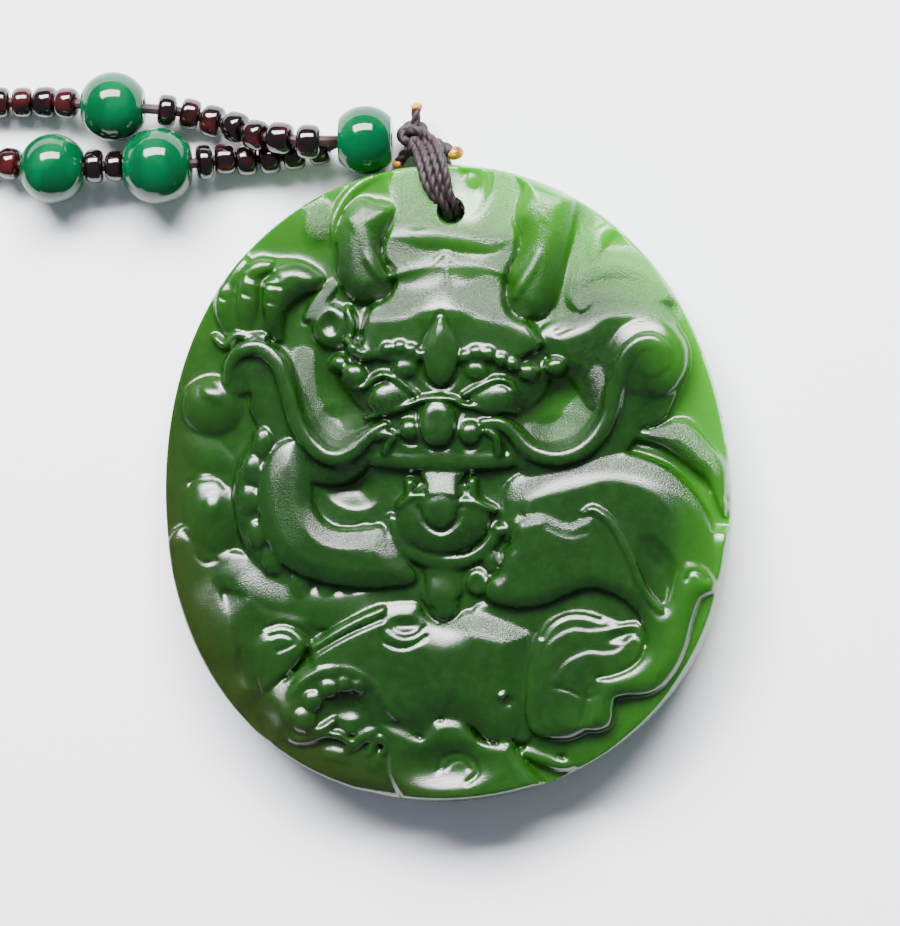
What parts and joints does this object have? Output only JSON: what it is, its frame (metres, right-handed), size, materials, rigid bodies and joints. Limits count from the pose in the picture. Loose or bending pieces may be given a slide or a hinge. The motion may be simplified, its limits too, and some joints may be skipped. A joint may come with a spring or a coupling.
{
  "type": "jade dragon pendant",
  "caption": "Oval plaque of green jade with a dragon carved in relief on its face, lying on its back, on a brown cord bail with a beaded necklace coiled beside it.",
  "frame": {"origin": "middle of the flat back, under the middle of the plaque", "axes": "+Z out of the carved face, +Y to the top of the design, where the hole is"},
  "size_m": [0.134, 0.0668, 0.0096],
  "materials": {
    "jade": "polished, with matte carved grounds",
    "cord": "braided cord with melted ends",
    "green_bead": "glossy",
    "black_bead": "glossy"
  },
  "bodies": {
    "root": {"jade_plaque": "jade", "bail_cord": "cord", "top_bead": "green_bead", "green_bead_1": "green_bead", "green_bead_2": "green_bead", "green_bead_3": "green_bead", "black_beads_upper": "black_bead", "black_beads_lower": "black_bead", "black_beads_end": "black_bead", "necklace_upper": "black_bead", "necklace_lower": "black_bead", "necklace_coil": "black_bead"}
  },
  "joints": []
}
